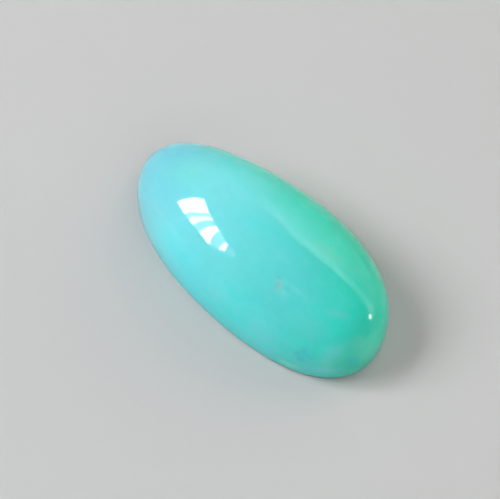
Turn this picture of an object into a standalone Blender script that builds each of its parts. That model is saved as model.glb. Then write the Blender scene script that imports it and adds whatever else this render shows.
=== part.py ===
"""Polished chrysoprase cabochon: one long oval stone, domed above and flat below.

Frame: metres, +Z up. The origin is on the flat base, at the middle of the
outline's box. +X runs along the stone to its blunter end.
"""

from math import atan2, acos, cos, hypot, pi, radians, sin

import bmesh
import bpy

MM = 0.001

# Overall size
LENGTH = 28.0 * MM
WIDTH = 13.7 * MM
HEIGHT = 8.4 * MM

# Girdle and base, as heights above the base and a distance in from the rim
GIRDLE_TOP = 1.3 * MM
GIRDLE_FOOT = 0.7 * MM
EDGE_HEIGHT = 0.35 * MM
EDGE_INSET = 0.1 * MM
BASE_INSET = 0.4 * MM

# Outline seen from above: how it leaves a plain ellipse, as shares of its half axes
BLUNTNESS = 0.13
SQUARENESS = 0.019
SHOULDER_TURN = radians(9)
BOW = 0.02

# Crown: 0.5 is half of an ellipse, and less is fuller at the sides and flatter on top
CROWN_POWER = 0.41

# Mesh: below 1, the spacing draws the crown's rings down towards the girdle
SEGMENTS = 112
CROWN_RINGS = 26
RING_SPACING = 0.8
SHARP_EDGE = radians(30)

# Finish
AQUA_GREEN = (0.12, 0.67, 0.60, 1.0)
POLISH_ROUGHNESS = 0.08
REFRACTIVE_INDEX = 1.54


def clear_scene():
    """Remove every object of the open scene."""
    for item in list(bpy.data.objects):
        bpy.data.objects.remove(item, do_unlink=True)


def polished_stone_material():
    """Return the milky aqua-green stone with its high polish."""
    material = bpy.data.materials.new("polished_chrysoprase")
    material.use_nodes = True
    shader = material.node_tree.nodes["Principled BSDF"]
    shader.inputs["Base Color"].default_value = AQUA_GREEN
    shader.inputs["Roughness"].default_value = POLISH_ROUGHNESS
    shader.inputs["Metallic"].default_value = 0.0
    shader.inputs["IOR"].default_value = REFRACTIVE_INDEX
    material.diffuse_color = AQUA_GREEN
    return material


def free_outline(turn):
    """Return the outline's point at one angle, before it is brought to size."""
    swell = 1 + SQUARENESS * (1 - cos(4 * (turn - SHOULDER_TURN)))
    x = swell * cos(turn)
    y = swell * sin(turn) * (1 + BLUNTNESS * cos(turn)) + BOW * sin(turn) ** 2
    return x, y


def to_size(values, span):
    """Return the values centred on zero and stretched to fill the span."""
    low = min(values)
    high = max(values)
    middle = (low + high) / 2
    return [(value - middle) * span / (high - low) for value in values]


def rim_outline():
    """Return the girdle's points seen from above, in order round the stone."""
    points = [free_outline(2 * pi * step / SEGMENTS) for step in range(SEGMENTS)]
    along = to_size([x for x, _ in points], LENGTH)
    across = to_size([y for _, y in points], WIDTH)
    return list(zip(along, across))


def section_rings():
    """Return each ring, top to bottom, as its share of the outline, its inset and its height."""
    rings = []
    for step in range(CROWN_RINGS):
        fall = pi / 2 * (step / CROWN_RINGS) ** RING_SPACING
        rise = cos(fall) ** (2 * CROWN_POWER)
        rings.append((sin(fall), 0.0, GIRDLE_TOP + (HEIGHT - GIRDLE_TOP) * rise))
    rings.append((1.0, 0.0, GIRDLE_TOP))
    rings.append((1.0, 0.0, GIRDLE_FOOT))
    rings.append((1.0, EDGE_INSET, EDGE_HEIGHT))
    rings.append((1.0, BASE_INSET, 0.0))
    rings.append((0.0, 0.0, 0.0))
    return rings


def stone_mesh():
    """Return the stone's mesh, a sphere whose rings are moved onto the stone's sections."""
    rings = section_rings()
    outline = rim_outline()
    last_ring = len(rings) - 1
    body = bmesh.new()
    bmesh.ops.create_uvsphere(body, u_segments=SEGMENTS, v_segments=last_ring, radius=1.0)
    for vert in body.verts:
        ring = round(acos(max(-1.0, min(1.0, vert.co.z))) / pi * last_ring)
        place = round(atan2(vert.co.y, vert.co.x) / (2 * pi) * SEGMENTS) % SEGMENTS
        share, inset, height = rings[ring]
        x, y = outline[place]
        reach = share - inset / hypot(x, y)
        vert.co = (reach * x, reach * y, height)
    bmesh.ops.recalc_face_normals(body, faces=body.faces)
    mesh = bpy.data.meshes.new("chrysoprase_stone")
    body.to_mesh(mesh)
    body.free()
    mesh.shade_smooth()
    mesh.set_sharp_from_angle(angle=SHARP_EDGE)
    return mesh


def build():
    """Build the stone in a collection of its own."""
    clear_scene()
    collection = bpy.data.collections.new("chrysoprase_cabochon")
    bpy.context.scene.collection.children.link(collection)
    stone = bpy.data.objects.new("chrysoprase_stone", stone_mesh())
    stone.data.materials.append(polished_stone_material())
    collection.objects.link(stone)


build()
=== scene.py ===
"""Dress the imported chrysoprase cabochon: its polished body, milky colour, light and camera."""

import logging
from dataclasses import dataclass, field
from enum import Enum
from math import cos, pi, radians, sin, tan, tau
from typing import Any

import bmesh
import bpy
from mathutils import Matrix, Vector


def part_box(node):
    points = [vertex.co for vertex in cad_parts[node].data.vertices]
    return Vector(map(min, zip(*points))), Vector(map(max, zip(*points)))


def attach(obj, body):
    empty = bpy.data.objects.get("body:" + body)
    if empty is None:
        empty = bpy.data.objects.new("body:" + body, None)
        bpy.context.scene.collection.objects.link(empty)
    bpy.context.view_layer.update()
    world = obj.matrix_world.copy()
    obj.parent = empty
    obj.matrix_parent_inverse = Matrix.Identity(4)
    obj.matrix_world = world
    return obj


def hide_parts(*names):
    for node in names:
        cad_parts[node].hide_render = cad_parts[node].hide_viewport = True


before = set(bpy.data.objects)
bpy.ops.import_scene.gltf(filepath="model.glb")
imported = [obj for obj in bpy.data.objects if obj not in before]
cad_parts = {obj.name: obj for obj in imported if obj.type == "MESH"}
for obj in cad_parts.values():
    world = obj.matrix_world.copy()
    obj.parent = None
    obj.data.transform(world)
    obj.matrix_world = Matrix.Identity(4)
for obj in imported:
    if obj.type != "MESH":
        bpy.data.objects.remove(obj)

LOG = logging.getLogger("cabochon")
MM = 0.001
STONE_NODE = "chrysoprase_stone"
STONE_SLOT = "polished_chrysoprase"

Colour = tuple[float, float, float]
Point = tuple[float, float, float]
Span = tuple[float, float]


class Reach(Enum):
    """Which rays a lamp answers: all of them, or only those that light the stone and floor."""

    MIRRORED = "mirrored"
    UNMIRRORED = "unmirrored"


class LampShape(Enum):
    """The outline of a flat lamp."""

    RECTANGLE = "RECTANGLE"
    ELLIPSE = "ELLIPSE"

    @property
    def fill(self) -> float:
        """Return the share of its box that the outline fills."""
        return pi / 4 if self is LampShape.ELLIPSE else 1.0


@dataclass(frozen=True)
class Pattern:
    """A cloud pattern from 0 to 1.

    Its scale is how many clouds fit in a millimetre, its detail is the octaves of finer clouds,
    its roughness is how strong those are, and its distortion is how far it is swirled.
    """

    scale: float
    detail: float = 2.0
    roughness: float = 0.5
    distortion: float = 0.0


@dataclass(frozen=True)
class Drift:
    """A slow push that makes edges wander: eddies in a millimetre, and the widest push in millimetres."""

    scale: float
    amount: float


@dataclass(frozen=True)
class Cloud:
    """One kind of cloud in the stone: a colour that shows where a pattern is strong.

    It shows faintly at the first level of the pattern and fully at the second, and it may be
    drawn out along the stone.
    """

    colour: Colour
    share: float
    pattern: Pattern
    shows: Span
    drift: Drift | None = None
    drawn_out: float = 1.0


@dataclass(frozen=True)
class Spot:
    """A soft patch of another colour in the stone, placed in millimetres.

    Its turn is in degrees about the upright axis. Its core is the share of its reach that is at
    full strength, and curdled says how far the stone's curds break it up.
    """

    centre: Point
    radii: Point
    colour: Colour
    share: float
    turn: float = 0.0
    core: float = 0.0
    curdled: float = 0.0


@dataclass(frozen=True)
class Signal:
    """One socket of a shader, which can be added, multiplied and subtracted like a number."""

    bench: "ShaderBench"
    socket: bpy.types.NodeSocket

    def __add__(self, other: "Signal | float") -> "Signal":
        """Return the sum."""
        return self.bench.sum_up("ADD", self, other)

    def __radd__(self, other: float) -> "Signal":
        """Return the sum with a number in front."""
        return self.bench.sum_up("ADD", other, self)

    def __sub__(self, other: "Signal | float") -> "Signal":
        """Return the difference."""
        return self.bench.sum_up("SUBTRACT", self, other)

    def __rsub__(self, other: float) -> "Signal":
        """Return a number less this signal."""
        return self.bench.sum_up("SUBTRACT", other, self)

    def __mul__(self, other: "Signal | float") -> "Signal":
        """Return the product."""
        return self.bench.sum_up("MULTIPLY", self, other)

    def __rmul__(self, other: float) -> "Signal":
        """Return the product with a number in front."""
        return self.bench.sum_up("MULTIPLY", other, self)


@dataclass(frozen=True)
class ShaderBench:
    """The node tree of a material, a lamp or a world, with one way of adding each kind of node."""

    owner: bpy.types.Material | bpy.types.Light | bpy.types.World

    def __post_init__(self) -> None:
        """Start the owner's nodes."""
        self.owner.use_nodes = True

    @classmethod
    def material(cls, name: str) -> "ShaderBench":
        """Return a bench for a new material."""
        return cls(bpy.data.materials.new(name))

    @property
    def shader(self) -> bpy.types.Node:
        """Return the shader that the owner's output shows."""
        output = next(made for made in self.owner.node_tree.nodes if made.type.startswith("OUTPUT"))
        return output.inputs["Surface"].links[0].from_node

    def node(self, kind: str, settings: dict[str, Any] | None = None,
             inputs: dict[str | int, Any] | None = None) -> bpy.types.Node:
        """Add one node.

        Args:
            kind: the node's type, without its ShaderNode prefix.
            settings: attributes set before the sockets; "stops" gives a ramp's places and colours.
            inputs: values or signals, by socket name or number.

        Returns:
            The new node.
        """
        made = self.owner.node_tree.nodes.new("ShaderNode" + kind)
        for key, value in (settings or {}).items():
            if key == "stops":
                self.set_stops(made.color_ramp, value)
            else:
                setattr(made, key, value)
        for key, value in (inputs or {}).items():
            self.feed(made.inputs[key], value)
        return made

    @staticmethod
    def set_stops(ramp: bpy.types.ColorRamp, stops: list[tuple[float, Colour]]) -> None:
        """Give a ramp its stops.

        Args:
            ramp: the ramp to fill.
            stops: place and colour of each stop, in order.
        """
        while len(ramp.elements) < len(stops):
            ramp.elements.new(1.0)
        for element, (place, colour) in zip(ramp.elements, stops):
            element.position = place
            element.color = (*colour, 1.0)

    def feed(self, socket: bpy.types.NodeSocket, value: Any) -> None:
        """Link a signal to a socket, or set the socket's own value.

        Args:
            socket: the socket to feed.
            value: a signal, a number, a colour or a vector.
        """
        if isinstance(value, Signal):
            self.owner.node_tree.links.new(value.socket, socket)
        elif socket.type == "RGBA" and len(value) == 3:
            socket.default_value = (*value, 1.0)
        else:
            socket.default_value = value

    def signal(self, made: bpy.types.Node, output: str | int = 0) -> Signal:
        """Return one output of a node as a signal."""
        return Signal(self, made.outputs[output])

    def sum_up(self, operation: str, first: Signal | float, second: Signal | float) -> Signal:
        """Return a Math node's result for two terms."""
        return self.signal(self.node("Math", {"operation": operation}, {0: first, 1: second}))

    def stretched(self, place: Signal, scale: Point) -> Signal:
        """Return the place with each of its parts multiplied."""
        inputs = {"Vector": place, "Scale": scale}
        return self.signal(self.node("Mapping", {"vector_type": "POINT"}, inputs))

    def millimetres(self) -> Signal:
        """Return the place on the object in millimetres."""
        return self.stretched(self.signal(self.node("TexCoord"), "Object"), (1 / MM,) * 3)

    def axes(self, vector: Signal) -> tuple[Signal, Signal, Signal]:
        """Return the three parts of a vector."""
        parts = self.node("SeparateXYZ", None, {"Vector": vector})
        return self.signal(parts, "X"), self.signal(parts, "Y"), self.signal(parts, "Z")

    def noise_node(self, place: Signal, pattern: Pattern) -> bpy.types.Node:
        """Add the node of a cloud pattern.

        Args:
            place: where the pattern is read, in millimetres.
            pattern: the pattern to make.

        Returns:
            The new node.
        """
        inputs = {"Vector": place, "Scale": pattern.scale, "Detail": pattern.detail,
                  "Roughness": pattern.roughness, "Distortion": pattern.distortion}
        return self.node("TexNoise", {"noise_dimensions": "3D"}, inputs)

    def noise(self, place: Signal, pattern: Pattern) -> Signal:
        """Return the strength of a cloud pattern at a place."""
        return self.signal(self.noise_node(place, pattern))

    def stirred(self, place: Signal, drift: Drift) -> Signal:
        """Return the place shifted by a slow colour noise, so that edges in it wander.

        Args:
            place: the place to shift, in millimetres.
            drift: the size and the strength of the eddies.

        Returns:
            The shifted place.
        """
        eddies = self.signal(self.noise_node(place, Pattern(drift.scale)), "Color")
        middle = (0.5, 0.5, 0.5)
        centred = self.signal(self.node("VectorMath", {"operation": "SUBTRACT"}, {0: eddies, 1: middle}))
        pushed = {0: centred, "Scale": 2 * drift.amount}
        push = self.signal(self.node("VectorMath", {"operation": "SCALE"}, pushed))
        return self.signal(self.node("VectorMath", {"operation": "ADD"}, {0: place, 1: push}))

    def ramped(self, value: Signal, rise: Span) -> Signal:
        """Return a smooth rise from 0 at the span's start to 1 at its end."""
        inputs = {"Value": value, "From Min": rise[0], "From Max": rise[1], "To Min": 0.0, "To Max": 1.0}
        return self.signal(self.node("MapRange", {"interpolation_type": "SMOOTHSTEP"}, inputs))

    def blot(self, place: Signal, spot: Spot) -> Signal:
        """Return a soft spot's mask, 1 inside and 0 outside.

        Args:
            place: where the spot is read, in millimetres.
            spot: the spot to draw.

        Returns:
            The spot's mask, before its curds and its share.
        """
        turn = (0.0, 0.0, radians(spot.turn))
        mapping = {"Vector": place, "Location": spot.centre, "Rotation": turn, "Scale": spot.radii}
        local = self.signal(self.node("Mapping", {"vector_type": "TEXTURE"}, mapping))
        far = self.signal(self.node("VectorMath", {"operation": "LENGTH"}, {0: local}), "Value")
        return 1 - self.ramped(far, (spot.core, 1.0))

    def layer(self, under: Signal | Colour, over: Signal | Colour, share: Signal | float) -> Signal:
        """Return one colour laid over another.

        Args:
            under: the colour below.
            over: the colour above.
            share: how much of the upper colour shows.

        Returns:
            The mixed colour.
        """
        mix = self.node("Mix", {"data_type": "RGBA", "clamp_factor": True}, {"Factor": share})
        below, above = [socket for socket in mix.inputs if socket.type == "RGBA"]
        self.feed(below, under)
        self.feed(above, over)
        return Signal(self, next(socket for socket in mix.outputs if socket.type == "RGBA"))


@dataclass(frozen=True)
class PolishedChrysoprase:
    """The stone's finish: milky aqua to apple green, glowing within, under a mirror polish.

    Places on the stone are in millimetres, along it to the blunt end and across it to the far
    side. The colours between its ends stand at shares of its length from the narrow tip.
    """

    half_length: float
    # painted shade: the narrow tip is coloured darker, as shade on that thin end
    shaded_narrow_tip: Colour = (0.15, 0.48, 0.58)
    # partly the stone's pale aqua, partly painted cool window light on the narrow end, which faces the
    # window
    narrow_aqua_and_window_light: Colour = (0.20, 0.67, 0.71)
    middle_turquoise: Colour = (0.10, 0.62, 0.60)
    blunt_green: Colour = (0.04, 0.71, 0.60)
    blunt_rim_green: Colour = (0.03, 0.62, 0.44)
    # partly the stone's deeper green, partly painted shade on the far flank, which is turned away from the
    # window
    far_flank_green_and_shade: Colour = (0.003, 0.63, 0.44)
    # partly the stone's aqua, partly painted cool window light on the near side, which faces the window
    near_rim_aqua_and_window_light: Colour = (0.05, 0.73, 0.77)
    near_rim_green: Colour = (0.05, 0.70, 0.68)
    # painted shade: the far rim is coloured darker green, as shade along that edge
    shaded_far_rim_green: Colour = (0.0, 0.52, 0.31)
    milk: Colour = (0.33, 0.80, 0.80)
    deep_teal: Colour = (0.02, 0.46, 0.43)
    narrow_aqua_at: float = 0.32
    middle_turquoise_at: float = 0.75
    blunt_green_at: float = 0.92
    body_drift: Drift = Drift(0.16, 1.2)
    far_flank: Span = (-1.0, 6.2)
    far_flank_slant: float = 0.16
    far_rim: Span = (4.6, 8.2)
    far_rim_slant: float = 0.12
    near_rim: Span = (-7.2, -4.5)
    near_rim_turns_green: Span = (-3.0, 5.0)
    spot_drift: Drift = Drift(1.6, 0.25)
    curds: Pattern = Pattern(1.5, 4.0, 0.65)
    curds_show: Span = (0.38, 0.60)
    glow_depth: float = 3.5 * MM
    glow_by_colour: Colour = (0.8, 1.0, 0.95)
    refractive_index: float = 1.54
    polish: float = 0.016
    smears: Pattern = Pattern(0.35, 3.0, 0.6, 1.2)
    smears_show: Span = (0.45, 0.75)
    smear_roughness: float = 0.010
    ripples: Pattern = Pattern(0.8, 1.0, 0.4)
    ripple_depth: float = 0.002
    satin: float = 0.34
    base_height: float = 0.08
    lap_marks: Pattern = Pattern(9.0, 3.0, 0.65)
    lap_depth: float = 0.02

    def clouds(self) -> list[Cloud]:
        """Return the stone's clouds in the order in which they are laid.

        Returns:
            Fine drawn-out veils, broad milk, wisps of milk, and clear depths.
        """
        return [
            Cloud(self.milk, 0.05, Pattern(1.9, 3.0, 0.6), (0.45, 0.72), Drift(1.2, 0.3), drawn_out=2.5),
            Cloud(self.milk, 0.07, Pattern(0.22, 3.0, 0.55, 0.6), (0.42, 0.72)),
            Cloud(self.milk, 0.07, Pattern(0.55, 4.0, 0.6), (0.50, 0.78), Drift(0.5, 0.8)),
            Cloud(self.deep_teal, 0.12, Pattern(0.38, 3.0, 0.5, 0.9), (0.55, 0.80)),
        ]

    def spots(self) -> list[Spot]:
        """Return every patch of the stone in the order in which they are laid."""
        return [*self.hazes(), *self.low_mottling(), *self.thin_streaks(), *self.inclusion()]

    def hazes(self) -> list[Spot]:
        """Return the broad patches.

        Returns:
            Pale and dusky areas of the near side and crown, and the green ones of the blunt end, the low
            one on the near side being painted glow of light passing through the thin edge.
        """
        haze = (0.13, 0.75, 0.76)
        dusk = (0.27, 0.60, 0.67)
        clear_aqua = (0.03, 0.66, 0.62)
        pale_blue = (0.22, 0.62, 0.76)
        pale_green = (0.20, 0.70, 0.58)
        # the stone's own leaf green at the blunt end's rim, and painted glow of light passing through the
        # thin low edge near the blunt end
        leaf_green_and_edge_glow = (0.18, 0.83, 0.58)
        return [
            Spot((5.5, -6.6, 2.2), (4.5, 1.6, 2.0), haze, 0.25),
            Spot((-4.0, -6.3, 3.1), (3.5, 1.6, 2.2), pale_blue, 0.20),
            Spot((-7.9, -0.5, 7.3), (4.0, 2.6, 2.0), pale_green, 0.33, turn=20),
            Spot((0.8, -6.5, 4.2), (5.0, 1.1, 1.8), dusk, 0.26, turn=-2),
            Spot((1.6, -0.8, 8.3), (5.6, 1.7, 1.5), clear_aqua, 0.20, turn=8),
            Spot((10.0, -3.8, 5.4), (2.8, 1.8, 1.8), dusk, 0.26, curdled=0.2),
            Spot((6.3, -6.2, 3.6), (2.8, 1.3, 1.8), dusk, 0.18),
            Spot((10.8, -1.5, 6.1), (1.8, 0.6, 1.0), dusk, 0.28, turn=38),
            Spot((12.2, -3.6, 3.9), (1.5, 2.0, 1.6), haze, 0.50, turn=30),
            Spot((13.2, -1.3, 4.1), (1.3, 1.2, 1.2), pale_green, 0.40, turn=30),
            Spot((12.1, -4.4, 1.6), (2.6, 1.2, 1.1), haze, 0.62, turn=35),
            # painted glow: light passing through the thin low edge
            Spot((9.4, -5.8, 1.1), (1.7, 0.8, 0.7), leaf_green_and_edge_glow, 0.60, turn=20),
            Spot((13.8, -0.3, 2.6), (1.2, 2.4, 1.8), leaf_green_and_edge_glow, 0.35),
        ]

    def low_mottling(self) -> list[Spot]:
        """Return the mottled patch low on the near side.

        Returns:
            A curdled blue patch, its darker specks, the milk beside it and a clear green depth.
        """
        deep_blue = (0.04, 0.51, 0.62)
        grey_teal = (0.03, 0.41, 0.44)
        clear_green = (0.0, 0.58, 0.54)
        return [
            Spot((10.5, -5.15, 3.2), (1.8, 1.3, 1.5), deep_blue, 0.42, turn=25, curdled=0.6),
            Spot((10.4, -5.0, 3.75), (0.45, 0.4, 0.4), grey_teal, 0.26, core=0.1),
            Spot((10.3, -5.35, 2.6), (0.55, 0.4, 0.5), grey_teal, 0.32, core=0.1),
            Spot((9.95, -5.4, 3.2), (0.40, 0.4, 0.5), grey_teal, 0.24, core=0.1),
            Spot((12.2, -4.05, 2.5), (0.9, 0.9, 1.8), self.milk, 0.24, curdled=0.3),
            Spot((12.5, -2.95, 4.2), (1.5, 0.8, 1.0), self.milk, 0.20, turn=60, curdled=0.3),
            Spot((13.55, -2.45, 2.4), (0.85, 1.0, 1.2), clear_green, 0.70, turn=-15, core=0.1),
        ]

    def thin_streaks(self) -> list[Spot]:
        """Return the thin patches of the crown near the blunt end.

        Returns:
            The milk beside the inclusion and a painted reflection of the pale wall: a hazy pale band on
            the far side.
        """
        # painted reflection of the pale wall: a pale band on the far side
        painted_band_reflection = (0.17, 0.62, 0.50)
        return [
            Spot((7.3, -2.75, 7.1), (1.5, 0.33, 1.0), self.milk, 0.18, turn=8),
            Spot((6.2, -3.5, 7.1), (1.5, 0.9, 1.0), self.milk, 0.26, turn=-25, curdled=0.5),
            # painted reflection of the pale wall along the far side of the crown
            Spot((6.4, 1.6, 7.5), (3.2, 1.0, 1.6), painted_band_reflection, 0.34, turn=12, curdled=0.3),
        ]

    def inclusion(self) -> list[Spot]:
        """Return the small inclusion on the near side of the crown.

        Returns:
            Its pinkish body and the darker marks in and around it.
        """
        dusky_pink = (0.36, 0.46, 0.46)
        grey_brown = (0.16, 0.36, 0.34)
        return [
            Spot((5.85, -3.42, 7.2), (0.75, 0.55, 0.8), dusky_pink, 0.40, turn=-40, core=0.1, curdled=0.4),
            Spot((6.45, -3.2, 7.2), (0.6, 0.4, 0.6), self.deep_teal, 0.20, turn=20, core=0.1),
            Spot((5.3, -3.05, 7.45), (0.45, 0.25, 0.4), grey_brown, 0.34, turn=44, core=0.1, curdled=0.3),
            Spot((5.75, -3.55, 7.2), (0.40, 0.26, 0.4), grey_brown, 0.22, core=0.1, curdled=0.3),
        ]

    def body_colour(self, bench: ShaderBench, place: Signal) -> Signal:
        """Return the slow change of colour along and across the stone, partly painted light: shade on the
        narrow tip and the far rim, and in part shade on the far flank and window light on the narrow end
        and the near rim.

        Args:
            bench: the material's node tree.
            place: the place on the stone in millimetres.

        Returns:
            The colour before its clouds and spots.
        """
        along, across, _ = bench.axes(bench.stirred(place, self.body_drift))
        to_blunt = along * (0.5 * MM / self.half_length) + 0.5
        stops = [
            # the first stop is painted shade on the narrow tip
            (0.0, self.shaded_narrow_tip),
            (self.narrow_aqua_at, self.narrow_aqua_and_window_light),
            (self.middle_turquoise_at, self.middle_turquoise),
            (self.blunt_green_at, self.blunt_green),
            (1.0, self.blunt_rim_green),
        ]
        colour = bench.signal(bench.node("ValToRGB", {"stops": stops}, {"Fac": to_blunt}))
        # the far flank: deeper green, partly painted shade
        on_far_flank = bench.ramped(across + along * self.far_flank_slant, self.far_flank)
        colour = bench.layer(colour, self.far_flank_green_and_shade, on_far_flank)
        # the far rim: painted shade
        on_far_rim = bench.ramped(across + along * self.far_rim_slant, self.far_rim)
        colour = bench.layer(colour, self.shaded_far_rim_green, on_far_rim)
        # the near rim: the stone's aqua turning green, lighter partly as painted window light
        to_green = bench.ramped(along, self.near_rim_turns_green)
        near_rim_colour = bench.layer(self.near_rim_aqua_and_window_light, self.near_rim_green, to_green)
        return bench.layer(colour, near_rim_colour, 1 - bench.ramped(across, self.near_rim))

    def clouded(self, bench: ShaderBench, place: Signal, colour: Signal) -> Signal:
        """Return the colour with its clouds.

        Args:
            bench: the material's node tree.
            place: the place on the stone in millimetres.
            colour: the colour below the clouds.

        Returns:
            The clouded colour.
        """
        for cloud in self.clouds():
            read_at = bench.stretched(place, (1 / cloud.drawn_out, 1.0, 1.0))
            if cloud.drift:
                read_at = bench.stirred(read_at, cloud.drift)
            mask = bench.ramped(bench.noise(read_at, cloud.pattern), cloud.shows)
            colour = bench.layer(colour, cloud.colour, mask * cloud.share)
        return colour

    def spotted(self, bench: ShaderBench, place: Signal, colour: Signal) -> Signal:
        """Return the colour with its patches, frayed at their edges and partly curdled.

        Args:
            bench: the material's node tree.
            place: the place on the stone in millimetres.
            colour: the colour below the patches.

        Returns:
            The spotted colour.
        """
        frayed = bench.stirred(place, self.spot_drift)
        curds = bench.ramped(bench.noise(frayed, self.curds), self.curds_show)
        for spot in self.spots():
            broken = curds * spot.curdled + (1 - spot.curdled)
            colour = bench.layer(colour, spot.colour, bench.blot(frayed, spot) * broken * spot.share)
        return colour

    def polish_surface(self, bench: ShaderBench, place: Signal) -> None:
        """Give the dome its polish and the base its lapped satin.

        Args:
            bench: the material's node tree.
            place: the place on the stone in millimetres.
        """
        _, _, height = bench.axes(place)
        on_base = 1 - bench.ramped(height, (self.base_height / 2, self.base_height))
        smeared = bench.ramped(bench.noise(place, self.smears), self.smears_show)
        roughness = self.polish + smeared * self.smear_roughness + on_base * (self.satin - self.polish)
        bench.feed(bench.shader.inputs["Roughness"], roughness)
        rippled = bench.noise(place, self.ripples) * self.ripple_depth
        lapped = bench.noise(place, self.lap_marks) * on_base * self.lap_depth
        bump = bench.node("Bump", None, {"Strength": 1.0, "Distance": MM, "Height": rippled + lapped})
        bench.feed(bench.shader.inputs["Normal"], bench.signal(bump))

    def light_within(self, shader: bpy.types.Node) -> None:
        """Let light pass under the surface, red the least far.

        Args:
            shader: the material's shader.
        """
        shader.inputs["IOR"].default_value = self.refractive_index
        shader.inputs["Subsurface Weight"].default_value = 1.0
        shader.inputs["Subsurface Radius"].default_value = self.glow_by_colour
        shader.inputs["Subsurface Scale"].default_value = self.glow_depth

    def material(self) -> bpy.types.Material:
        """Make the finish.

        Returns:
            The finished material.
        """
        bench = ShaderBench.material(STONE_SLOT)
        place = bench.millimetres()
        colour = self.clouded(bench, place, self.body_colour(bench, place))
        bench.feed(bench.shader.inputs["Base Color"], self.spotted(bench, place, colour))
        self.polish_surface(bench, place)
        self.light_within(bench.shader)
        return bench.owner


@dataclass(frozen=True)
class PaleFloor:
    """The plain pale surface that the stone rests on."""

    half_side: float = 0.5
    drop: float = 0.02 * MM
    colour: Colour = (0.50, 0.49, 0.48)
    roughness: float = 0.6
    sheen: float = 0.2

    def build(self) -> bpy.types.Object:
        """Lay the floor.

        Returns:
            The floor's object.
        """
        bpy.ops.object.select_all(action="DESELECT")
        bpy.ops.mesh.primitive_plane_add(size=2 * self.half_side, location=(0, 0, 0))
        floor = bpy.context.object
        floor.name = "pale_floor"
        floor.data.transform(Matrix.Translation((0, 0, -self.drop)))
        bench = ShaderBench.material("pale_floor")
        bench.feed(bench.shader.inputs["Base Color"], self.colour)
        bench.feed(bench.shader.inputs["Roughness"], self.roughness)
        bench.feed(bench.shader.inputs["Specular IOR Level"], self.sheen)
        floor.data.materials.append(bench.owner)
        return floor


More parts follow.
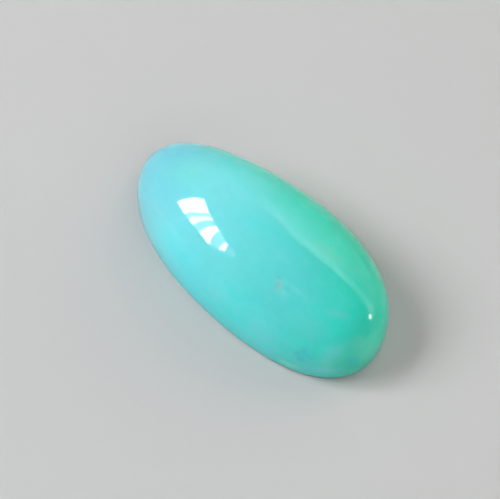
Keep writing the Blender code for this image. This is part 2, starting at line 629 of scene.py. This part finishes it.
@dataclass
class CabochonStone:
    """The stone: an oval dome drawn up in rings from its girdle, with an eased flat base.

    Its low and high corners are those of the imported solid.
    """

    low: Vector
    high: Vector
    girdle_top: float = 1.3 * MM
    girdle_foot: float = 0.7 * MM
    base_inset: float = 0.38 * MM
    bluntness: float = 0.13
    squareness: float = 0.019
    shoulder_turn: float = radians(9)
    bow: float = 0.02
    crown_power: float = 0.41
    segments: int = 288
    crown_rings: int = 96
    ring_spacing: float = 0.8
    edge_rings: int = 7
    sharp_edge: float = radians(35)
    waviness: float = 0.006 * MM
    wave_length: float = 5.0 * MM
    body: bpy.types.Object = field(init=False)

    def free_outline(self, turn: float) -> tuple[float, float]:
        """Return the outline's point at one angle, before it is brought to size.

        Args:
            turn: the angle from the blunt end, in radians.

        Returns:
            The point's places along and across the stone.
        """
        swell = 1 + self.squareness * (1 - cos(4 * (turn - self.shoulder_turn)))
        along = swell * cos(turn)
        across = swell * sin(turn) * (1 + self.bluntness * cos(turn)) + self.bow * sin(turn) ** 2
        return along, across

    @staticmethod
    def to_size(values: list[float], low: float, high: float) -> list[float]:
        """Return the values stretched to run from low to high.

        Args:
            values: the values to stretch.
            low: what the smallest becomes.
            high: what the largest becomes.

        Returns:
            The stretched values, in the same order.
        """
        first = min(values)
        last = max(values)
        return [low + (value - first) * (high - low) / (last - first) for value in values]

    def girdle_ring(self) -> None:
        """Add a filled circle at the girdle's foot and draw it out to the stone's outline."""
        bpy.ops.object.select_all(action="DESELECT")
        bpy.ops.mesh.primitive_circle_add(
            vertices=self.segments, radius=1.0, fill_type="NGON", location=(0, 0, self.girdle_foot))
        self.body = bpy.context.object
        self.body.name = "polished_cabochon"
        bpy.ops.object.transform_apply(location=True, rotation=True, scale=True)
        turns = [tau * step / self.segments for step in range(self.segments)]
        points = [self.free_outline(turn) for turn in turns]
        along = self.to_size([point[0] for point in points], self.low.x, self.high.x)
        across = self.to_size([point[1] for point in points], self.low.y, self.high.y)
        for vert in self.body.data.vertices:
            step = round(Vector((1, 0)).angle_signed(vert.co.xy, 0.0) / -tau * self.segments)
            vert.co.x = along[step % self.segments]
            vert.co.y = across[step % self.segments]

    def crown_sections(self) -> list[tuple[float, float]]:
        """Work out the crown's rings, from the girdle to the apex.

        Returns:
            Each ring's share of the outline and its height.
        """
        sections = []
        for step in range(self.crown_rings - 1, 0, -1):
            fall = pi / 2 * (step / self.crown_rings) ** self.ring_spacing
            rise = cos(fall) ** (2 * self.crown_power)
            sections.append((sin(fall), self.girdle_top + (self.high.z - self.girdle_top) * rise))
        return sections

    def raise_crown(self) -> None:
        """Draw the girdle's face up in rings and close it at the apex."""
        bpy.ops.mesh.select_mode(type="FACE")
        bpy.ops.mesh.select_all(action="SELECT")
        share = 1.0
        height = self.girdle_foot
        for next_share, next_height in [(1.0, self.girdle_top), *self.crown_sections()]:
            step = {"value": (0, 0, next_height - height)}
            bpy.ops.mesh.extrude_region_move(TRANSFORM_OT_translate=step)
            narrowing = next_share / share
            bpy.ops.transform.resize(value=(narrowing, narrowing, 1), center_override=(0, 0, 0))
            share = next_share
            height = next_height
        bpy.ops.mesh.poke(offset=self.high.z - height)

    def ease_base(self) -> None:
        """Inset the base face, the one with a corner for every segment, along a quarter round."""
        mesh = bmesh.from_edit_mesh(self.body.data)
        for face in mesh.faces:
            face.select_set(len(face.verts) == self.segments)
        bmesh.update_edit_mesh(self.body.data)
        inset = 0.0
        drop = 0.0
        for step in range(1, self.edge_rings + 1):
            angle = pi / 2 * step / self.edge_rings
            next_inset = self.base_inset * (1 - cos(angle))
            next_drop = self.girdle_foot * sin(angle)
            bpy.ops.mesh.inset(thickness=next_inset - inset, depth=next_drop - drop)
            inset = next_inset
            drop = next_drop

    def hand_polish(self) -> None:
        """Give the crown the slight waves that a hand-held lap leaves."""
        crown = self.body.vertex_groups.new(name="crown")
        above = [vert.index for vert in self.body.data.vertices if vert.co.z > self.girdle_top]
        crown.add(above, 1.0, "REPLACE")
        waves = bpy.data.textures.new("hand_polish", "CLOUDS")
        waves.noise_scale = self.wave_length
        lap = self.body.modifiers.new("hand_polish", "DISPLACE")
        lap.texture = waves
        lap.texture_coords = "GLOBAL"
        lap.vertex_group = crown.name
        lap.strength = self.waviness
        bpy.ops.object.modifier_apply(modifier=lap.name)
        self.body.vertex_groups.remove(self.body.vertex_groups["crown"])

    def build(self) -> bpy.types.Object:
        """Model the stone.

        Returns:
            The stone's object, with its finished mesh.
        """
        self.girdle_ring()
        bpy.ops.object.mode_set(mode="EDIT")
        self.raise_crown()
        self.ease_base()
        bpy.ops.mesh.select_all(action="SELECT")
        bpy.ops.mesh.normals_make_consistent(inside=False)
        bpy.ops.object.mode_set(mode="OBJECT")
        self.hand_polish()
        bpy.ops.object.shade_smooth_by_angle(angle=self.sharp_edge)
        return self.body

    def dress(self) -> None:
        """Give the stone its finish and its place in the frame."""
        self.body.data.materials.append(PolishedChrysoprase(self.high.x).material())
        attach(self.body, "root")
        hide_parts(STONE_NODE)


@dataclass(frozen=True)
class Softbox:
    """One flat lamp, placed by the direction in which the stone sees it.

    Its azimuth is counted from +X, and its width and height are angles too, all in degrees. Its
    brightness is its radiance, which stays the same at any size and distance.
    """

    name: str
    azimuth: float
    elevation: float
    wide: float
    tall: float
    brightness: float
    colour: Colour = (1.0, 1.0, 1.0)
    lean: float = 0.0
    distance: float = 0.6
    reach: Reach = Reach.MIRRORED
    shape: LampShape = LampShape.RECTANGLE

    def direction(self) -> Vector:
        """Work out where the lamp stands.

        Returns:
            The unit vector from the stone to the lamp.
        """
        flat = cos(radians(self.elevation))
        bearing = radians(self.azimuth)
        return Vector((flat * cos(bearing), flat * sin(bearing), sin(radians(self.elevation))))

    def turn(self) -> Matrix:
        """Return the lamp's turn: its back to the sky, its face to the stone, leaning to one side."""
        facing = self.direction().to_track_quat("Z", "Y").to_matrix()
        return facing @ Matrix.Rotation(radians(self.lean), 3, "Z")

    def build(self, target: Vector) -> bpy.types.Object:
        """Add the lamp.

        Args:
            target: the point that the lamp faces.

        Returns:
            The lamp's object.
        """
        data = bpy.data.lights.new(self.name, "AREA")
        data.shape = self.shape.value
        data.size = 2 * self.distance * tan(radians(self.wide / 2))
        data.size_y = 2 * self.distance * tan(radians(self.tall / 2))
        data.energy = self.brightness * pi * self.shape.fill * data.size * data.size_y
        data.color = self.colour
        lamp = bpy.data.objects.new(self.name, data)
        bpy.context.collection.objects.link(lamp)
        place = Matrix.Translation(target + self.direction() * self.distance)
        lamp.matrix_world = place @ self.turn().to_4x4()
        lamp.visible_camera = False
        lamp.visible_glossy = self.reach is Reach.MIRRORED
        return lamp

    def spread(self, bench: ShaderBench, target: Vector) -> tuple[Signal, Signal]:
        """Return how far a point of the lamp is to the side and up, as shares of its distance.

        Args:
            bench: the lamp's node tree.
            target: the point that the lamp faces.

        Returns:
            The sideways and upward shares.
        """
        place = bench.signal(bench.node("NewGeometry"), "Position")
        offset = bench.signal(bench.node("VectorMath", {"operation": "SUBTRACT"}, {0: place, 1: target}))
        shares = []
        for axis in (0, 1):
            along = self.turn().col[axis] / self.distance
            product = bench.node("VectorMath", {"operation": "DOT_PRODUCT"}, {0: offset, 1: along})
            shares.append(bench.signal(product, "Value"))
        return shares[0], shares[1]


@dataclass(frozen=True)
class ArchedWall(Softbox):
    """A pale rounded wall behind the stone, brightest along its top and left rim.

    Its places are shares of its half width to the right and of its half height upwards. It dims
    to the right, its edge is pulled in at the upper left, a glow lies at the upper left, and the
    left side is shaded just above the middle.
    """

    shape: LampShape = LampShape.ELLIPSE
    rim: Span = (0.58, 0.76)
    fades_from: float = 0.80
    inner_share: float = 0.47
    dims_rightwards: Span = (0.05, 0.65)
    dim_share: float = 0.60
    pull: float = 0.11
    pull_leftwards: Span = (0.46, 0.80)
    pull_upwards: Span = (0.05, 0.35)
    glow_at: tuple[float, float] = (-0.36, 0.38)
    glow_reach: float = 0.42
    glow_share: float = 0.22
    shade_share: float = 0.75
    shade_leftwards: Span = (0.35, 0.62)
    shade_foot: Span = (-0.10, 0.15)
    shade_top: Span = (0.20, 0.45)

    def build(self, target: Vector) -> bpy.types.Object:
        """Add the wall.

        Args:
            target: the point that the wall faces.

        Returns:
            The wall's object.
        """
        lamp = super().build(target)
        bench = ShaderBench(lamp.data)
        aside, upward = self.spread(bench, target)
        aside = aside * (1 / tan(radians(self.wide / 2)))
        upward = upward * (1 / tan(radians(self.tall / 2)))
        outward = aside * aside + upward * upward
        rim = bench.ramped(outward, (self.rim[0] ** 2, self.rim[1] ** 2))
        dimmed = 1 - bench.ramped(aside, self.dims_rightwards) * self.dim_share
        inner = (1 - self.shade(bench, aside, upward)) * self.inner_share
        lit = rim * dimmed * (1 - self.inner_share) + inner + self.glow(bench, aside, upward)
        pulled = bench.ramped(-1 * aside, self.pull_leftwards) * bench.ramped(upward, self.pull_upwards)
        edge = 1 - bench.ramped(outward + pulled * self.pull, (self.fades_from ** 2, 1.0))
        bench.feed(bench.shader.inputs["Strength"], lit * edge * dimmed)
        return lamp

    def glow(self, bench: ShaderBench, aside: Signal, upward: Signal) -> Signal:
        """Return the soft glow at the wall's upper left.

        Args:
            bench: the lamp's node tree.
            aside: the place to the right.
            upward: the place upwards.

        Returns:
            The light that the glow adds.
        """
        from_glow_aside = aside - self.glow_at[0]
        from_glow_up = upward - self.glow_at[1]
        from_glow = from_glow_aside * from_glow_aside + from_glow_up * from_glow_up
        return (1 - bench.ramped(from_glow, (0.0, self.glow_reach ** 2))) * self.glow_share

    def shade(self, bench: ShaderBench, aside: Signal, upward: Signal) -> Signal:
        """Return the shade on the wall's left side.

        Args:
            bench: the lamp's node tree.
            aside: the place to the right.
            upward: the place upwards.

        Returns:
            The share of the inner light that the shade takes.
        """
        to_left = bench.ramped(-1 * aside, self.shade_leftwards)
        below_top = 1 - bench.ramped(upward, self.shade_top)
        above_foot = bench.ramped(upward, self.shade_foot)
        return to_left * below_top * above_foot * self.shade_share


@dataclass(frozen=True)
class Pane:
    """One pane between slanting bars: its left and right sides at the window's top and at its foot."""

    top: Span
    foot: Span
    brightness: float


@dataclass(frozen=True)
class BarredWindow(Softbox):
    """A window seen askew, with bright panes between dim bars.

    Its places are shares of its distance, to the right and upwards. The sides of its panes are
    given at its top and its foot, its head and sill cut them off aslant, and past its right side
    only a haze is left, which ends at the haze's side.
    """

    panes: tuple[Pane, ...] = ()
    frame_brightness: float = 3.8
    haze_brightness: float = 1.4
    top: float = 0.195
    foot: float = -0.20
    head: float = 0.185
    head_slope: float = -0.05
    sill: float = -0.238
    sill_slope: float = 0.2
    right_side: float = 0.350
    haze_side: float = 0.44
    softness: float = 0.011

    def build(self, target: Vector) -> bpy.types.Object:
        """Add the window.

        Args:
            target: the point that the window faces.

        Returns:
            The window's object.
        """
        lamp = super().build(target)
        bench = ShaderBench(lamp.data)
        aside, upward = self.spread(bench, target)
        climb = (upward - self.foot) * (1 / (self.top - self.foot))
        whole_top = (self.panes[0].top[0], self.panes[-1].top[1])
        whole_foot = (self.panes[0].foot[0], self.panes[-1].foot[1])
        whole = self.between(bench, aside, climb, whole_top, whole_foot)
        light = whole * (self.frame_brightness - self.haze_brightness)
        for pane in self.panes:
            lit = self.between(bench, aside, climb, pane.top, pane.foot)
            light = light + lit * (pane.brightness - self.frame_brightness)
        light = light * (1 - bench.ramped(aside, (self.right_side, self.right_side + self.softness)))
        haze = whole * (1 - bench.ramped(aside, (self.right_side, self.haze_side)))
        light = light + haze * self.haze_brightness
        from_head = upward - aside * self.head_slope
        from_sill = upward - aside * self.sill_slope
        light = light * (1 - bench.ramped(from_head, (self.head, self.head + self.softness)))
        light = light * bench.ramped(from_sill, (self.sill - self.softness, self.sill))
        bench.feed(bench.shader.inputs["Strength"], light)
        return lamp

    def between(self, bench: ShaderBench, aside: Signal, climb: Signal, top: Span, foot: Span) -> Signal:
        """Return 1 between two slanting sides and 0 outside them.

        Args:
            bench: the lamp's node tree.
            aside: the sideways share.
            climb: 0 at the window's foot and 1 at its top.
            top: where the left and right sides meet the window's top.
            foot: where they meet its foot.

        Returns:
            The mask of what lies between the sides.
        """
        from_left = aside - (climb * (top[0] - foot[0]) + foot[0])
        from_right = aside - (climb * (top[1] - foot[1]) + foot[1])
        edge = (-self.softness / 2, self.softness / 2)
        return bench.ramped(from_left, edge) * (1 - bench.ramped(from_right, edge))


@dataclass(frozen=True)
class StudioLight:
    """The soft room: a barred window on the left, a lamp on the right and a pale wall behind.

    Those three show on the stone's polish. Two softboxes brighten the stone and don't show on it.
    """

    daylight: Colour = (0.93, 0.97, 1.0)
    warm: Colour = (1.0, 0.95, 0.86)
    room_brightness: float = 0.25
    panes: tuple[Pane, ...] = (
        Pane((-0.298, -0.084), (-0.072, 0.076), 21.0),
        Pane((-0.084, -0.049), (0.076, 0.133), 6.0),
        Pane((-0.049, -0.012), (0.133, 0.196), 18.0),
        Pane((0.038, 0.088), (0.275, 0.392), 20.0),
        Pane((0.182, 0.205), (0.478, 0.560), 20.0),
        Pane((0.205, 0.258), (0.560, 0.610), 1.8),
        Pane((0.258, 0.280), (0.610, 0.635), 4.0),
    )

    def mirrored_lamps(self) -> list[Softbox]:
        """List the lamps that show on the stone's polish.

        Returns:
            The window, the lamp on the right and the wall.
        """
        return [
            BarredWindow("barred_window", azimuth=-147.0, elevation=39.0, wide=44.0, tall=34.0,
                         brightness=1.0, colour=self.daylight, panes=self.panes),
            Softbox("right_lamp", azimuth=43.2, elevation=7.8, wide=4.2, tall=6.0,
                    brightness=14.0, colour=self.warm),
            ArchedWall("pale_wall", azimuth=83.8, elevation=7.5, wide=77.7, tall=116.7,
                       brightness=1.55, colour=self.warm, lean=-22.9),
        ]

    def soft_lamps(self) -> list[Softbox]:
        """List the lamps that only brighten the stone and the floor.

        Returns:
            The two softboxes.
        """
        return [
            Softbox("near_softbox", azimuth=-20.0, elevation=45.0, wide=53.0, tall=46.0,
                    brightness=1.5, colour=self.daylight, reach=Reach.UNMIRRORED),
            Softbox("back_softbox", azimuth=90.0, elevation=30.0, wide=53.0, tall=46.0,
                    brightness=0.6, colour=self.warm, reach=Reach.UNMIRRORED),
        ]

    def build(self, target: Vector) -> None:
        """Light the stone.

        Args:
            target: the point that the lamps face.
        """
        for lamp in [*self.mirrored_lamps(), *self.soft_lamps()]:
            lamp.build(target)
            LOG.info("lamp %s", lamp.name)
        world = bpy.data.worlds.new("pale_room")
        bench = ShaderBench(world)
        bench.feed(bench.shader.inputs["Color"], self.daylight)
        bench.feed(bench.shader.inputs["Strength"], self.room_brightness)
        bpy.context.scene.world = world


@dataclass(frozen=True)
class PhotoCamera:
    """The camera, set where the photograph was taken from."""

    azimuth: float = radians(44.5)
    elevation: float = radians(58.0)
    distance: float = 160 * MM
    focal_px: float = 1792.0
    frame_px: tuple[float, float] = (500.0, 499.0)
    base_centre_px: tuple[float, float] = (258.5, 264.7)
    sensor_mm: float = 36.0
    clip_start: float = 1 * MM
    clip_end: float = 20.0

    def build(self) -> bpy.types.Object:
        """Add the camera, aimed so that the base's middle falls on its place in the frame.

        Returns:
            The camera's object.
        """
        flat = cos(self.elevation)
        back = Vector((sin(self.azimuth) * flat, -cos(self.azimuth) * flat, sin(self.elevation)))
        right = Vector((cos(self.azimuth), sin(self.azimuth), 0.0))
        up = back.cross(right)
        metres_per_px = self.distance / self.focal_px
        off_right = (self.base_centre_px[0] - self.frame_px[0] / 2) * metres_per_px
        off_down = (self.base_centre_px[1] - self.frame_px[1] / 2) * metres_per_px
        target = up * off_down - right * off_right
        data = bpy.data.cameras.new("photo_camera")
        data.sensor_width = self.sensor_mm
        data.lens = self.focal_px / self.frame_px[0] * self.sensor_mm
        data.clip_start = self.clip_start
        data.clip_end = self.clip_end
        camera = bpy.data.objects.new("photo_camera", data)
        bpy.context.collection.objects.link(camera)
        camera.location = back * self.distance
        camera.rotation_mode = "QUATERNION"
        camera.rotation_quaternion = (camera.location - target).to_track_quat("Z", "Y")
        bpy.context.scene.camera = camera
        return camera


def main() -> None:
    """Build the floor, the stone, the light and the camera, and log each step."""
    logging.basicConfig(level=logging.INFO, format="%(name)s: %(message)s")
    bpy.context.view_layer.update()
    low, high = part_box(STONE_NODE)
    PaleFloor().build()
    LOG.info("floor laid")
    stone = CabochonStone(Vector(low), Vector(high))
    body = stone.build()
    LOG.info("stone %s: %d faces", body.name, len(body.data.polygons))
    stone.dress()
    LOG.info("stone dressed")
    StudioLight().build(Vector((0, 0, high[2] / 2)))
    PhotoCamera().build()
    LOG.info("camera set")
    bpy.context.scene.view_settings.view_transform = "Standard"


if __name__ == "__main__":
    main()
